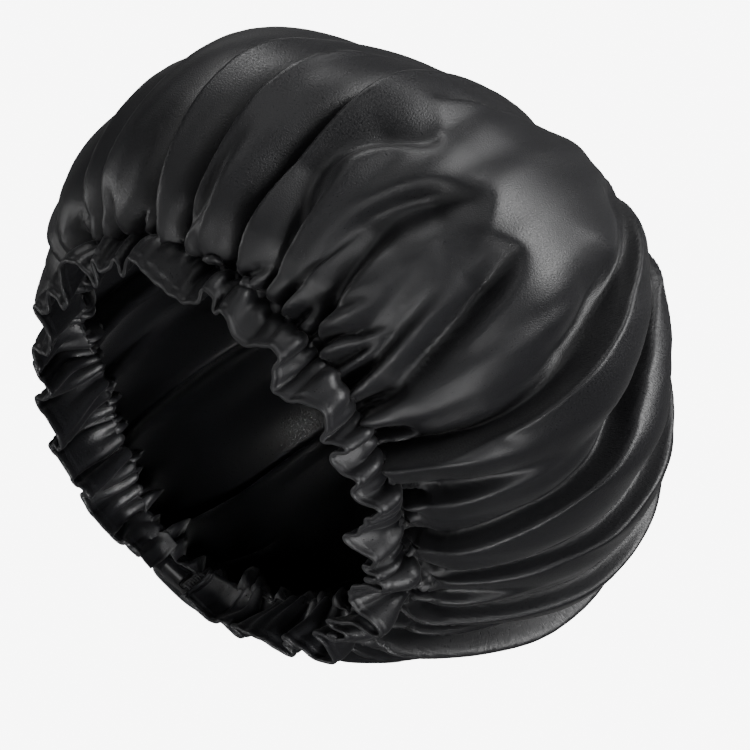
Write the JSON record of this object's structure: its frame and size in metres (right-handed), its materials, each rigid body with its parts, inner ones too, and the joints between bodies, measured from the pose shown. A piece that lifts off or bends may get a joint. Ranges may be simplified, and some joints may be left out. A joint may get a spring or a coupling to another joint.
{
  "type": "sleep bonnet",
  "caption": "Full, gathered satin sleep bonnet with an elastic casing round the head opening and an elastic strap with a slide at the back.",
  "frame": {"origin": "centre of the head opening, half-way up the gathered casing", "axes": "+Z from the opening towards the top of the crown, +Y towards the adjuster at the back of the head, +X towards the wearer's left side"},
  "size_m": [0.2726, 0.3166, 0.1975],
  "materials": {
    "black_satin": "satin weave, soft sheen",
    "black_elastic": "ribbed woven elastic, matt",
    "black_plastic": "gloss"
  },
  "bodies": {
    "root": {"crown": "black_satin", "gathered_band": "black_satin", "elastic_strap": "black_elastic", "strap_tab": "black_elastic", "slide_buckle": "black_plastic"}
  },
  "joints": []
}
